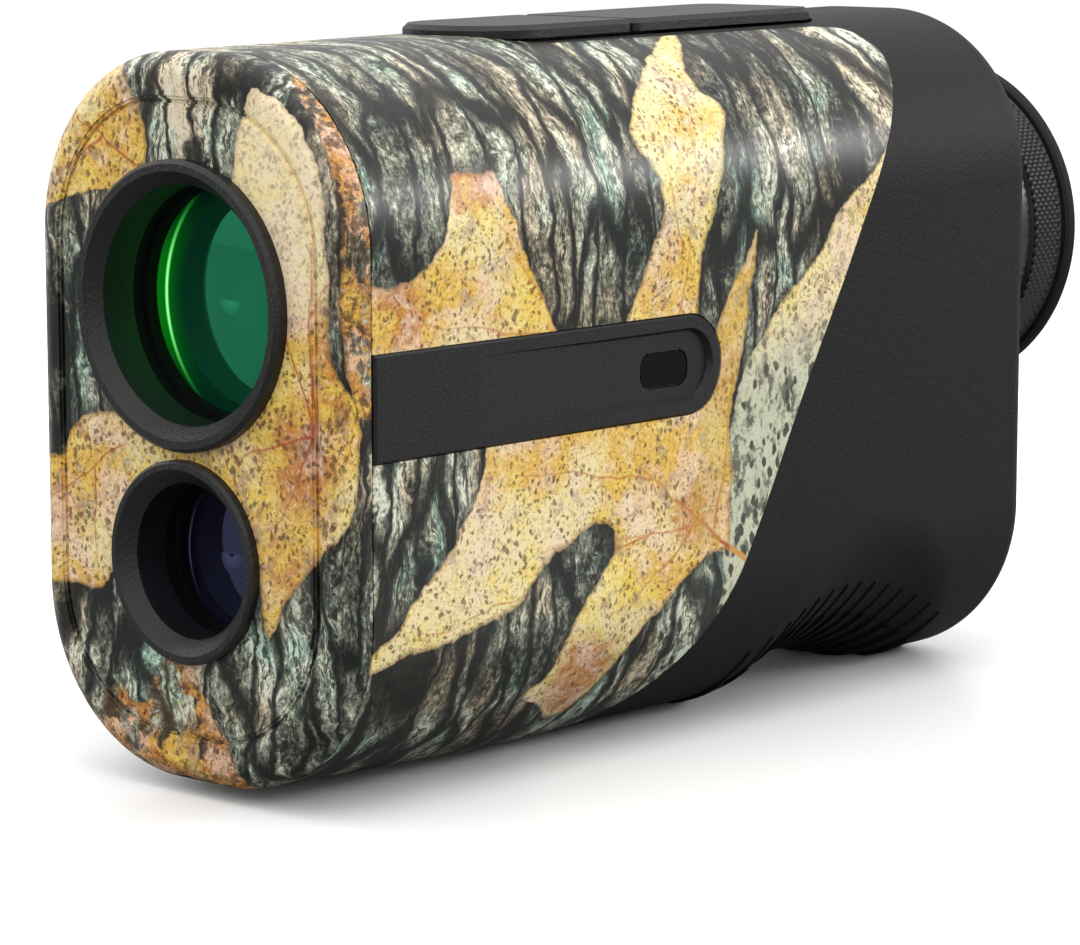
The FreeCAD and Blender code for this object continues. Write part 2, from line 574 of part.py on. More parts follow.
def build_eyepiece():
    z = VIEW_Z
    node("eyepiece_barrel", tube(BARREL_R, 12.6, 34.0, BARREL_END_Y, z))
    node("field_lens", lens(9.0, 1.0, 0.6, 27.0, 29.4, z))
    node("field_lens_holder", tube(12.55, 9.05, 26.0, 33.9, z).cut(tube(10.9, 9.5, 25, 26.5, z)))

    node("eyepiece_cell", turned([
        (10.4, 42.5), (12.6 - FIT, 42.5), (12.6 - FIT, 55.3), (10.4, 55.3), (10.4, 54.9), (11.3, 54.9),
        (11.3, 50.8), (10.4, 50.8),
    ], z))
    node("eye_lens", lens(11.25, 0.4, 0.6, 50.9, 54.0, z))
    node("eye_lens_retainer", tube(11.25, 10.5, 54.15, 54.88, z))

    node("diopter_ring", turned([
        (BARREL_R + FIT, RING_FRONT_Y), (RING_R - 0.3, RING_FRONT_Y), (RING_R, RING_FRONT_Y + 0.3),
        (RING_R, BAND_FRONT_Y), (BAND_R, BAND_FRONT_Y + 0.2), (BAND_R, RING_REAR_Y), (15.6, RING_REAR_Y),
        (15.6, RING_REAR_Y - 1.6), (13.2, RING_REAR_Y - 1.6), (13.2, BARREL_END_Y + 0.15),
        (BARREL_R + FIT, BARREL_END_Y + 0.15),
    ], z))
    node("eyecup", turned([
        (12.2, RING_REAR_Y - 1.58), (15.58, RING_REAR_Y - 1.58), (15.58, RING_REAR_Y + 0.02),
        (18.3, RING_REAR_Y + 0.02), (18.6, RING_REAR_Y + 0.4), (EYECUP_R, EYECUP_END_Y - 0.5),
        (EYECUP_R - 0.3, EYECUP_END_Y), (EYECUP_R - 1.3, EYECUP_END_Y), (15.4, EYECUP_END_Y - 1.2),
        (12.2, EYECUP_END_Y - 1.6),
    ], z))
    node("eyepiece_seal", tube(BARREL_R + 0.58, BARREL_R + 0.02, GRIP_END_Y + 0.8, GRIP_END_Y + 2.4, z))


def build_laser():
    """The laser diode under the prism, in a block that clips into the shelf."""
    y, top = -6.0, VIEW_Z - 12.0
    can = Part.makeCylinder(2.8, 3.2, Vec(0, y, top - 5.2), Vec(0, 0, 1))
    flange = Part.makeCylinder(3.6, 1.0, Vec(0, y, top - 6.2), Vec(0, 0, 1))
    holder = box(-5, 5, y - 5, y + 5, top - 6.4, top)
    holder = holder.cut(Part.makeCylinder(3.65, 1.3, Vec(0, y, top - 6.45), Vec(0, 0, 1)))
    holder = holder.cut(Part.makeCylinder(2.85, 8, Vec(0, y, top - 6.0), Vec(0, 0, 1)))
    node("laser_diode", can.fuse(flange))
    node("laser_holder", holder)


# ---------------------------------------------------------------- lower optics
def build_receiver():
    z = RECEIVE_Z
    rim = PANEL_Y - 1.1
    node("receiver_bezel", turned([
        (8.95, rim), (9.5, rim), (9.8, rim + 0.3), (9.8, PANEL_Y - 0.02), (8.95, PANEL_Y - 0.02),
        (8.95, PANEL_Y + 4.0), (7.5, PANEL_Y + 4.0), (7.5, rim + 1.5),
    ], z))
    node("receiver_barrel", turned([
        (7.5, PANEL_Y + 4.1), (9.2, PANEL_Y + 4.1), (9.2, -45.2), (9.9, -45.2), (9.9, -43.0), (9.2, -43.0),
        (9.2, -26.0), (7.9, -26.0), (7.9, -48.8), (6.9, -48.8), (6.9, -49.4), (7.9, -49.4), (7.9, -54.2),
        (7.5, -54.2),
    ], z))
    node("receiver_lens", lens(7.85, 0.25, 0.3, -53.3, -49.5, z))
    node("receiver_retainer", tube(7.85, 7.0, -54.1, -53.4, z))
    node("band_filter", rod(7.85, -45.0, -44.0, z))
    node("detector_board", rod(9.2, -25.9, -24.9, z))
    node("photodiode", rod(3.2, -29.0, -25.95, z).fuse(rod(3.9, -26.6, -25.95, z)))


# ---------------------------------------------------------------- electronics
def build_electronics():
    x0, x1 = BOARD_X, BOARD_X + BOARD_THICK
    board = box(x0, x1, -26, 34, 10, 33).fuse(box(x0, x1, -22, -6, 33, 43)).removeSplitter()
    for y, z in BOARD_SCREWS:
        board = board.cut(Part.makeCylinder(0.95, 5, Vec(x0 - 1, y, z), Vec(1, 0, 0)))
    node("main_board", board)
    chips = [(-14, 18, 8, 8), (0, 22, 10, 6), (14, 17, 5, 5), (24, 25, 6, 4), (-20, 27, 4, 4)]
    node("board_chips", *[box(x0 - 1.1, x0 - 0.02, y - a / 2, y + a / 2, z - b / 2, z + b / 2) for y, z, a, b in chips])
    node("board_screws", *[
        screw(x1 + 0.02, y, z, (-1, 0, 0), 1.7, 1.0, 0.85, 4.3) for y, z in BOARD_SCREWS
    ])
    posts = [
        Part.makeCylinder(1.9, 5.5, Vec(x0 - 5.55, y, z), Vec(1, 0, 0)).cut(
            Part.makeCylinder(0.87, 8, Vec(x0 - 3.2, y, z), Vec(1, 0, 0))
        )
        for y, z in BOARD_SCREWS
    ]
    tray = box(-9.5, -8.0, -24, 34, 8.0, 30.5).fuse(box(-9.5, 6.7, -24, 34, 8.0, 9.3))
    brackets = [box(6.3, 8.5, y - 1.9, y + 1.9, 8.0, 12.0) for y, z in BOARD_SCREWS]
    node("battery_tray", tray.fuse(posts + brackets).removeSplitter())
    cell = rounded_block(14.0, 9.4, 28.4, 3.0, -17.5, 29.0)
    cell.translate(Vec(-0.9, 0, 0))
    node("battery", cell)
    node("battery_lead", box(-4.0, 2.0, 29.05, 31.5, 17, 21))


def main():
    os.makedirs("parts", exist_ok=True)
    build_shells()
    build_front_cover()
    build_rear_cover()
    build_side_strip()
    build_buttons()
    build_objective()
    build_prisms()
    build_frame()
    build_display()
    build_eyepiece()
    build_laser()
    build_receiver()
    build_electronics()
    for name, shape in NODES.items():
        shape.exportStep("parts/%s.step" % name)
        print(name, len(shape.Solids), "valid" if shape.isValid() else "INVALID")


main()
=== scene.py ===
"""The looks of the laser rangefinder: printed casing, moulded blacks, coated glass and the pieces inside."""

import math

import bmesh
import bpy
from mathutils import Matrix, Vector


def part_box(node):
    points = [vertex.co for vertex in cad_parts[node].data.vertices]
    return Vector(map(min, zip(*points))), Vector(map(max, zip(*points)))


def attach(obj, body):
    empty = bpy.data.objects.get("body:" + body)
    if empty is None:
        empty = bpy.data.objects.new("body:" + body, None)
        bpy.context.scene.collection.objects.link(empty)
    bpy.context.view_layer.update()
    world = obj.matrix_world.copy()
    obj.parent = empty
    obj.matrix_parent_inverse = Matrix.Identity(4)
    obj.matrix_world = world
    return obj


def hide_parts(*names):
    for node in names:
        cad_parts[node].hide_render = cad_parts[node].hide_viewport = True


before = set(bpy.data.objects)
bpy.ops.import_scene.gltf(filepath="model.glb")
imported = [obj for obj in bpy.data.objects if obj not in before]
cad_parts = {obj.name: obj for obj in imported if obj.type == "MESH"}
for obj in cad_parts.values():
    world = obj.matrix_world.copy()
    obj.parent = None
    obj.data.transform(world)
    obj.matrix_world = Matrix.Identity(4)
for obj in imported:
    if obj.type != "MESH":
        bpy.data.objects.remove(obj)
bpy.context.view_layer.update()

MM = 0.001
TO_MM = 1000.0

# Body dimensions that the looks follow, in mm.
CORNER_R = 17.8
FLAT_HALF = 3.3  # half width of the level part of the top
SIDE_LOW = 17.8  # the side is flat between these two heights
SIDE_HIGH = 53.6
OVER_TOP = SIDE_HIGH + CORNER_R * math.pi / 2 + FLAT_HALF  # girth from the base line to the middle of the top
PANEL_Y = -59.4
VIEW_Z = 47.2
RECEIVE_Z = 22.8
LEFT_SIDE_SHIFT = -26.0  # the left side carries the same leaves turned front to back
OBJECTIVE_R = 11.4
RECEIVER_R = 7.5
BATTERY_Y = 5.75  # middle of the cell
CAP_FROM_MIDDLE = 21.0  # where the cell's gold ends start

# The turning ring, in mm.
RING_R = 17.2
BAND_R = 17.9  # over the tips of the knurling
BAND_START = 3.4  # from the ring's front
BAND_REAR_GAP = 0.35
KNURL_DEPTH = 0.34
KNURL_TEETH = 112
STEPS_PER_TOOTH = 6
THREAD_R = 14.05
BORE_R = 13.2
EYECUP_SEAT_R = 15.6
EYECUP_SEAT_DEPTH = 1.6
BORE_STEP_Y = 55.65

# The print.
PRINT_EDGE = 0.14  # half the softness of a leaf's edge, in mm
SLOW_SHIFT = 2.2  # how far noise moves the printed edges, in mm
QUICK_SHIFT = 0.9
CALM_SHIFT = 0.15  # the same for veins

# The studio, in metres and watts.
FLOOR_R = 9.0
FLOOR_Z = -0.00005
BOUNCE_GREY = 0.24  # the floor's tone for everything but the camera
HORIZON_LIGHT = 0.62
HIGH_LIGHT = 1.25
HIGH_FROM = 0.7  # sine of the height from which the sky is at its brightest
AIM = (0.0, 0.0, 0.036)
CAMERA_AT = (0.26998, -0.31138, 0.08878)
CAMERA_TURN = (81.13, 0.0, 41.79)
CAMERA_LENS = 131.45


# ---------------------------------------------------------------- node arithmetic
class Field:
    """A number that a material works out at every point. The usual signs join two of them."""

    def __init__(self, tree, socket):
        self.tree = tree
        self.socket = socket

    def op(self, kind, *others, clamp=False):
        node = self.tree.nodes.new("ShaderNodeMath")
        node.operation = kind
        node.use_clamp = clamp
        for slot, value in zip(node.inputs, (self, *others)):
            plug(self.tree, slot, value)
        return Field(self.tree, node.outputs[0])

    def __add__(self, other):
        return self.op("ADD", other)

    __radd__ = __add__

    def __sub__(self, other):
        return self.op("SUBTRACT", other)

    def __rsub__(self, other):
        return self * -1.0 + other

    def __mul__(self, other):
        return self.op("MULTIPLY", other)

    __rmul__ = __mul__

    def __truediv__(self, other):
        return self.op("DIVIDE", other)

    def __abs__(self):
        return self.op("ABSOLUTE")


def plug(tree, slot, value):
    """Links a Field to a node's input, or sets the input to a constant."""
    if isinstance(value, Field):
        tree.links.new(value.socket, slot)
    else:
        slot.default_value = value


def highest(first, *others):
    for other in others:
        first = first.op("MAXIMUM", other)
    return first


def lowest(first, *others):
    for other in others:
        first = first.op("MINIMUM", other)
    return first


def smooth(value, low, high):
    """0 below low, 1 above high, and smooth between. With low above high it falls instead."""
    node = value.tree.nodes.new("ShaderNodeMapRange")
    node.interpolation_type = "SMOOTHSTEP"
    plug(value.tree, node.inputs["Value"], value)
    node.inputs["From Min"].default_value = low
    node.inputs["From Max"].default_value = high
    return Field(value.tree, node.outputs["Result"])


def curve(value, points):
    """A smooth curve through (position, height) points."""
    xs = [p[0] for p in points]
    ys = [p[1] for p in points]
    x0, span = min(xs), max(xs) - min(xs)
    y0, rise = min(ys), max(max(ys) - min(ys), 1e-6)
    node = value.tree.nodes.new("ShaderNodeFloatCurve")
    line = node.mapping.curves[0]
    places = [((x - x0) / span, (y - y0) / rise) for x, y in sorted(points)]
    line.points[0].location = places[0]
    line.points[-1].location = places[-1]
    for place in places[1:-1]:
        line.points.new(*place)
    for point in line.points:
        point.handle_type = "AUTO_CLAMPED"
    node.mapping.update()
    plug(value.tree, node.inputs["Value"], (value - x0) / span)
    return Field(value.tree, node.outputs[0]) * rise + y0


def vector(x, y, z=0.0):
    tree = x.tree
    node = tree.nodes.new("ShaderNodeCombineXYZ")
    for slot, value in zip(node.inputs, (x, y, z)):
        plug(tree, slot, value)
    return Field(tree, node.outputs[0])


def noise(at, scale, detail=3.0, roughness=0.5, distortion=0.0):
    """Smooth noise about 0.5, at a vector in mm; scale is in waves per mm."""
    node = at.tree.nodes.new("ShaderNodeTexNoise")
    plug(at.tree, node.inputs["Vector"], at)
    node.inputs["Scale"].default_value = scale
    node.inputs["Detail"].default_value = detail
    node.inputs["Roughness"].default_value = roughness
    node.inputs["Distortion"].default_value = distortion
    return Field(at.tree, node.outputs["Fac"])


def cells(at, scale, feature="F1", randomness=1.0):
    """Distance to the nearest point of a scattered set, or to the border between its cells."""
    node = at.tree.nodes.new("ShaderNodeTexVoronoi")
    node.feature = feature
    plug(at.tree, node.inputs["Vector"], at)
    node.inputs["Scale"].default_value = scale
    node.inputs["Randomness"].default_value = randomness
    return Field(at.tree, node.outputs["Distance"])


def mix(share, first, second, blend="MIX"):
    """Two colours mixed. Each is an (r, g, b) or a Field."""
    node = share.tree.nodes.new("ShaderNodeMix")
    node.data_type = "RGBA"
    node.blend_type = blend
    plug(share.tree, node.inputs[0], share)
    for slot, colour in ((node.inputs[6], first), (node.inputs[7], second)):
        plug(share.tree, slot, colour if isinstance(colour, Field) else (*colour, 1.0))
    return Field(share.tree, node.outputs[2])


def ramp(value, stops):
    """Colours along a value: (position, (r, g, b)) stops."""
    node = value.tree.nodes.new("ShaderNodeValToRGB")
    plug(value.tree, node.inputs["Fac"], value)
    elements = node.color_ramp.elements
    while len(elements) < len(stops):
        elements.new(0.5)
    for element, (place, colour) in zip(elements, stops):
        element.position = place
        element.color = (*colour, 1.0)
    return Field(value.tree, node.outputs["Color"])


class Look:
    """A material under construction: its tree, its shader and a point's place in mm."""

    def __init__(self, name):
        self.material = bpy.data.materials.new(name)
        self.material.use_nodes = True
        self.tree = self.material.node_tree
        self.shader = self.tree.nodes["Principled BSDF"]
        where = self.tree.nodes.new("ShaderNodeTexCoord")
        scale = self.tree.nodes.new("ShaderNodeVectorMath")
        scale.operation = "SCALE"
        scale.inputs["Scale"].default_value = TO_MM
        self.tree.links.new(where.outputs["Object"], scale.inputs[0])
        self.place = Field(self.tree, scale.outputs[0])
        self.x, self.y, self.z = self.split(self.place)
        self.normal = Field(self.tree, where.outputs["Normal"])

    def split(self, value):
        node = self.tree.nodes.new("ShaderNodeSeparateXYZ")
        plug(self.tree, node.inputs[0], value)
        return [Field(self.tree, socket) for socket in node.outputs]

    def set(self, **values):
        """Sets the shader's inputs: constants on the socket itself, Fields by a link."""
        for key, value in values.items():
            if isinstance(value, tuple):
                value = (*value, 1.0)
            plug(self.tree, self.shader.inputs[key.replace("_", " ")], value)
        return self

    def bump(self, height, depth_mm, strength=1.0):
        node = self.tree.nodes.new("ShaderNodeBump")
        node.inputs["Strength"].default_value = strength
        node.inputs["Distance"].default_value = depth_mm * MM
        plug(self.tree, node.inputs["Height"], height)
        self.tree.links.new(node.outputs["Normal"], self.shader.inputs["Normal"])
        return self


# ---------------------------------------------------------------- the printed pattern
GOLD = (0.80, 0.49, 0.085)
CREAM = (0.90, 0.76, 0.40)
ORANGE = (0.55, 0.20, 0.03)
VEIN_RUST = (0.52, 0.17, 0.03)
STEM_RED = (0.42, 0.06, 0.02)
SPECK_BROWN = (0.10, 0.045, 0.02)


def across_lobe(u, v, left, right):
    """How far (u, v) is inside a shape whose left and right edges are curves of (v, u) points."""
    low = max(left[-1][0], right[-1][0])
    high = min(left[0][0], right[0][0])
    inside = lowest(u - curve(v, left), curve(v, right) - u)
    return lowest(inside, v - low, high - v)


def upright_lobe(u, v, top, bottom):
    """The same for a shape whose top and bottom edges are curves of (u, v) points."""
    low = max(top[0][0], bottom[0][0])
    high = min(top[-1][0], bottom[-1][0])
    inside = lowest(curve(u, top) - v, v - curve(u, bottom))
    return lowest(inside, u - low, high - u)


def vein(u, v, start, end, width):
    """A line from start to end that tapers away."""
    du, dv = end[0] - start[0], end[1] - start[1]
    length = math.hypot(du, dv)
    du, dv = du / length, dv / length
    along = (u - start[0]) * du + (v - start[1]) * dv
    aside = abs((v - start[1]) * du - (u - start[0]) * dv)
    reach = width * (1.0 - along / (1.15 * length))
    line = smooth(aside - reach, 0.12, -0.12)
    return line * smooth(along, -0.5, 0.5) * smooth(along, length, length - 2.0)


def blot(u, v, centre, reach, lean=0.0):
    """A soft spot, 1 at its centre and 0 beyond its reach along u and v. It leans by lean of u per v."""
    side = (u - centre[0] - (v - centre[1]) * lean) / reach[0]
    rise = (v - centre[1]) / reach[1]
    far = (side * side + rise * rise).op("SQRT")
    return smooth(far, 1.15, 0.25)


def bark(u, v, dark, light):
    """Cracked bark whose grain runs along v. dark and light are Fields from 0 to 1 that shift its tone."""
    drift = noise(vector(u * 0.8, v * 0.30), 0.10, 2.0) - 0.5
    wander = noise(vector(u, v * 0.6, 7.0), 0.33, 3.0) - 0.5
    flow = u + drift * 9.0 + wander * 3.4
    plates = cells(vector(flow, v * 0.20), 0.25, "DISTANCE_TO_EDGE")
    folds = noise(vector(flow, v * 0.20, 3.0), 0.50, 5.0, 0.62, 0.5)
    threads = noise(vector(flow, v * 0.30, 9.0), 1.25, 4.0, 0.65)
    grain = noise(vector(flow, v * 0.40, 3.0), 0.95, 6.0, 0.70)
    broad = noise(vector(flow, v * 0.40, 11.0), 0.13, 2.0)
    fleck = noise(vector(u, v * 0.7, 2.0), 2.1, 4.0, 0.75)
    cracks = (0.22 + smooth(plates, 0.01, 0.15) * 0.78) * (0.40 + smooth(abs(folds - 0.5), 0.0, 0.035) * 0.60)
    cracks = cracks * (0.62 + smooth(abs(threads - 0.5), 0.0, 0.05) * 0.38)
    tone = 0.57 + (grain - 0.5) * 1.30 + (broad - 0.5) * 0.9 + (fleck - 0.5) * 1.35
    tone = (tone + light * 0.26 - dark * 0.24) * cracks
    base = ramp(tone, [
        (0.0, (0.004, 0.005, 0.004)),
        (0.12, (0.011, 0.013, 0.010)),
        (0.26, (0.055, 0.060, 0.047)),
        (0.42, (0.165, 0.172, 0.128)),
        (0.58, (0.355, 0.380, 0.290)),
        (0.80, (0.780, 0.800, 0.640)),
    ])
    hue = noise(vector(flow, v * 0.5, 23.0), 0.16, 2.0)
    base = mix(smooth(hue, 0.51, 0.62) * 0.50, base, (0.36, 0.25, 0.15), "COLOR")
    tint = noise(vector(flow, v * 0.6, 29.0), 0.42, 3.0)
    return mix(smooth(hue * 0.6 + tint * 0.4, 0.47, 0.37) * 0.42, base, (0.12, 0.34, 0.27), "COLOR")


def leaf_colour(u, v, warm, pale, inside, specks=1.0):
    """The face of a dead leaf. warm and pale shift its tone, and inside is how far in from its edge."""
    cloud = noise(vector(u, v, 31.0), 0.12, 3.0, 0.6)
    mottle = noise(vector(u, v, 37.0), 0.62, 5.0, 0.68)
    grit = noise(vector(u, v, 39.0), 2.3, 4.0, 0.75)
    colour = mix(smooth(cloud + pale * 0.45 + (mottle - 0.5) * 0.5, 0.40, 0.66), GOLD, CREAM)
    colour = mix(smooth(cloud * 0.5 + mottle * 0.8 + warm * 0.42, 0.72, 1.02) * 0.9, colour, ORANGE)
    blush = noise(vector(u, v, 73.0), 0.20, 4.0, 0.6)
    colour = mix(smooth(blush, 0.51, 0.63) * 0.50, colour, (0.94, 0.70, 0.58))
    colour = mix(smooth(blush, 0.48, 0.36) * 0.50, colour, (0.94, 0.72, 0.10))
    bruise = noise(vector(u, v, 59.0), 0.35, 4.0, 0.65) - pale * 0.05
    colour = mix(smooth(bruise, 0.54, 0.66) * 0.60, colour, (0.38, 0.27, 0.22))
    colour = mix(smooth(grit, 0.50, 0.34) * 0.60, colour, (0.26, 0.13, 0.05))
    colour = mix(smooth(grit, 0.53, 0.68) * 0.45, colour, (0.97, 0.91, 0.66))
    crowd = noise(vector(u, v, 43.0), 0.24, 3.0)
    jag = (grit - 0.5) * 0.5
    dots = cells(vector(u, v * 0.85, 41.0), 1.35) + jag
    colour = mix(smooth(dots - crowd * 0.50 * specks, 0.09, -0.07) * 0.72, colour, SPECK_BROWN)
    fine = cells(vector(u, v, 47.0), 2.5) + jag
    patch = smooth(noise(vector(u, v, 53.0), 0.28, 3.0), 0.36, 0.58)
    colour = mix(smooth(fine, 0.36, 0.12) * patch * 0.68 * specks, colour, (0.15, 0.07, 0.03))
    return mix(smooth(inside, 0.7, 0.0) * 0.6, colour, (0.18, 0.08, 0.025))


def noise_colour(at, scale, detail):
    """Three noises at once, each about 0.5."""
    node = at.tree.nodes.new("ShaderNodeTexNoise")
    plug(at.tree, node.inputs["Vector"], at)
    node.inputs["Scale"].default_value = scale
    node.inputs["Detail"].default_value = detail
    return Field(at.tree, node.outputs["Color"])


def ruffled(look, u, v, slow_mm, quick_mm):
    """(u, v) shifted a little by noise, so that printed edges are uneven."""
    slow = look.split(noise_colour(look.place, 0.16, 2.0))
    quick = look.split(noise_colour(look.place, 0.85, 3.0))
    return (
        u + (slow[0] - 0.5) * slow_mm + (quick[0] - 0.5) * quick_mm,
        v + (slow[1] - 0.5) * slow_mm + (quick[1] - 0.5) * quick_mm,
    )


def side_camo():
    """The casing's print: leaves lie over bark whose grain climbs the side and runs over the top."""
    look = Look("casing_print")
    lie = abs(look.x)
    flat = lowest(highest(look.z, SIDE_LOW), SIDE_HIGH)
    turn = (look.z - flat).op("ARCTAN2", highest(lie - FLAT_HALF, 0.0))
    rest = highest(FLAT_HALF - lie, 0.0) * turn.op("SIGN")
    girth = flat + turn * CORNER_R + rest
    hand = look.x.op("SIGN")
    left = smooth(hand, 0.5, -0.5)
    along = look.y + left * (look.y * -2.0 + LEFT_SIDE_SHIFT)
    u, v = ruffled(look, along, girth, SLOW_SHIFT, QUICK_SHIFT)
    calm_u, calm_v = ruffled(look, along, girth, SLOW_SHIFT, CALM_SHIFT)

    high_left = upright_lobe(
        u, v,
        [(-60, 51.5), (-54, 50), (-50, 50.3), (-47.5, 52), (-46, 55), (-44.8, 58.5), (-43.6, 60),
         (-38.4, 60.2), (-37.2, 56.5), (-35.5, 52.5), (-32, 46), (-28, 41)],
        [(-60, 38), (-28, 38)],
    )
    tall = across_lobe(
        u, v,
        [(77.5, 1.6), (75, -2.5), (72, -7), (69.5, -10.5), (66.5, -14), (62, -17.3), (59, -16), (55, -14.6),
         (50, -16.8), (44, -20), (38, -22)],
        [(77.5, 2.0), (74.5, 0.8), (72, -1.6), (69, -3.7), (67, -3.9), (64.8, -1.7), (62, -3), (58, -4.8),
         (54, -6.8), (50, -8.4), (38, -10)],
    )
    blade = across_lobe(
        u, v,
        [(51.5, -0.2), (47, -3.2), (44, -5.2), (38, -8), (20, -10)],
        [(51.5, 0.1), (47, -0.7), (43, -1.3), (38, -2.8), (32, -4), (20, -5.4)],
    )
    broad = upright_lobe(
        u, v,
        [(-60, 15), (-54, 17), (-50, 20.3), (-46, 24.2), (-42.8, 28), (-40.8, 32.5), (-39, 38),
         (-5, 40), (-4, 36)],
        [(-60, 12.6), (-54, 14.2), (-50, 15), (-44, 16), (-38, 17.4), (-33, 20.6), (-29, 22.8), (-23.2, 24.3),
         (-21.6, 22.8), (-18, 19), (-4, 19.5)],
    )
    tongue = across_lobe(
        u, v,
        [(26, -23), (22.6, -21.8), (19, -24), (15.5, -27.2), (12.5, -28.7), (9.6, -30), (7.8, -31.8),
         (6.2, -29.4), (3, -26)],
        [(26, -4.4), (21, -4.8), (19.5, -7.5), (17.4, -11), (15, -14), (12.5, -17), (10, -19.4), (7, -21),
         (3, -23.4)],
    )
    edge_leaf = across_lobe(
        u, v,
        [(60, 24), (57, 20), (54.5, 16), (51.5, 12.4), (49, 10.4), (46.5, 7.6), (43.5, 3.6), (40.5, 0.6),
         (37, -2.2), (31, -4), (24, -5.4), (12, -5)],
        [(60, 26.5), (55, 25.5), (50, 21), (45, 17.6), (40, 15.6), (35, 11.4), (30, 8), (24, 6.6),
         (18, 1), (12, -4)],
    )
    low_leaf = across_lobe(
        u, v,
        [(18.6, -9), (16, -13), (13, -17.4), (10, -20.2), (6, -22.8), (-6, -26)],
        [(18.6, -1), (14, 4), (-6, 4)],
    )
    pale_strip = across_lobe(
        u, v,
        [(90, 20), (78, 20.6), (70, 20.2), (65, 20.8), (61, 22.6)],
        [(90, 40), (61, 40)],
    )
    golden = highest(high_left, tall, blade, broad, tongue)

    dark = lowest(highest(
        blot(u, v, (-52, 53), (6, 3.6)),
        blot(u, v, (-18.5, 52), (3, 9)) * 0.9,
        blot(u, v, (-9, 50), (6, 9), 0.3),
        blot(u, v, (-1.5, 62), (4, 11), 0.1) * 0.9,
        blot(u, v, (9, 68), (9, 9)),
        blot(u, v, (16, 60), (4, 7), 0.3) * 0.8,
        blot(u, v, (-25, 19), (6, 5), 0.6),
        blot(u, v, (-36, 12), (10, 5)) * 0.9,
        blot(u, v, (-50, 9), (9, 4)) * 0.7,
        blot(u, v, (-33, 70), (3, 9)) * 0.6,
        blot(u, v, (-48, 66), (3, 8)) * 0.5,
        blot(u, v, (3, 38), (3, 7), 0.3) * 0.8,
    ), 1.0)
    light = lowest(highest(
        blot(u, v, (-39, 74), (4, 9)),
        blot(u, v, (-30, 62), (5, 14), 0.1) * 0.8,
        blot(u, v, (-24, 72), (3, 8)) * 0.7,
        blot(u, v, (13, 66), (2.2, 9), 0.25),
        blot(u, v, (2, 50), (3, 10)) * 0.6,
        blot(u, v, (-48, 30), (7, 6)) * 0.5,
        blot(u, v, (-12, 74), (5, 5)) * 0.8,
        smooth(pale_strip, -0.5, 0.5) * 1.1,
        smooth(low_leaf, -0.4, 0.4) * 0.8,
    ), 1.1)
    over_top = hand * (girth * -1.0 + OVER_TOP)
    ground = bark(look.y, over_top, dark, light)

    shade = smooth(highest(golden, edge_leaf), -2.2, 0.0) * 0.62
    ground = mix(shade, ground, (0.010, 0.010, 0.008))

    spots = cells(vector(u * 1.25, v * 0.8, 61.0), 0.62)
    bold = noise(vector(u, v, 67.0), 0.16, 2.0) * 0.5
    dotted = smooth(spots - bold, 0.10, -0.02)
    green_dots = mix(dotted * smooth(low_leaf, -0.2, 0.6) * 0.9, ground, (0.02, 0.03, 0.02))

    veins = highest(
        vein(calm_u, calm_v, (-1, 17.6), (-21, 31.5), 0.24),
        vein(calm_u, calm_v, (-8, 22.5), (-34, 22.5), 0.12),
        vein(calm_u, calm_v, (-9, 23), (-26, 10), 0.14),
        vein(calm_u, calm_v, (-16, 28), (-38, 31), 0.12),
        vein(calm_u, calm_v, (-16, 22.6), (-52, 16), 0.16),
        vein(calm_u, calm_v, (-26, 38), (-41, 58), 0.14),
        vein(calm_u, calm_v, (-32, 44), (-50, 46), 0.12),
        vein(calm_u, calm_v, (-13, 40), (-7, 68), 0.14),
        vein(calm_u, calm_v, (-12, 50), (-14, 62), 0.14),
        vein(calm_u, calm_v, (-6, 22), (-2.5, 44), 0.18),
    )
    far_up = smooth(v, 48.0, 58.0)
    warm = highest(
        blot(u, v, (-41, 59), (6, 4)),
        blot(u, v, (-52, 47), (7, 5)) * 0.8,
        blot(u, v, (-25, 9), (7, 7)) * 0.8,
        blot(u, v, (-9, 24), (6, 5)) * 0.6,
        blot(u, v, (-5, 36), (3, 8)) * 0.5,
    )
    pale = smooth(u, -14.0, -34.0) * smooth(v, 34.0, 16.0) + far_up * 0.5
    golds = leaf_colour(u, v, warm, pale * 0.7, golden)
    golds = mix(veins * 0.75, golds, VEIN_RUST)
    golds = mix(veins * blot(u, v, (-3, 19), (9, 7)) * 0.8, golds, STEM_RED)
    green_rim = smooth(tall, 1.6, 0.1) * smooth(tall, -0.3, 0.3)
    green_rim = green_rim * smooth(u, -9.0, -5.5) * smooth(v, 68.0, 52.0)
    golds = mix(green_rim * 0.55, golds, (0.16, 0.26, 0.05))
    golds = mix(smooth(blade, -0.2, 0.3) * 0.35, golds, (0.55, 0.36, 0.05))

    pale_veins = highest(
        vein(calm_u, calm_v, (0, 41), (9, 40.2), 0.3),
        vein(calm_u, calm_v, (-4, 28), (16, 50), 0.22),
        vein(calm_u, calm_v, (4, 37), (20, 56), 0.16),
    )
    creams = leaf_colour(u, v, smooth(v, 42.0, 54.0) * 0.2, 0.7 - smooth(v, 44.0, 54.0) * 0.5, edge_leaf)
    creams = mix(pale_veins * 0.3, creams, VEIN_RUST)
    chill = smooth(v, 46.0, 34.0)
    creams = mix(chill * 0.75, creams, (0.50, 0.56, 0.45))
    creams = mix(dotted * (0.35 + chill * 0.6), creams, (0.035, 0.04, 0.03))
    scuff = noise(vector(u, v * 0.7, 71.0), 0.6, 5.0, 0.7)
    creams = mix(smooth(scuff, 0.50, 0.62) * chill * 0.85, creams, (0.05, 0.06, 0.045))

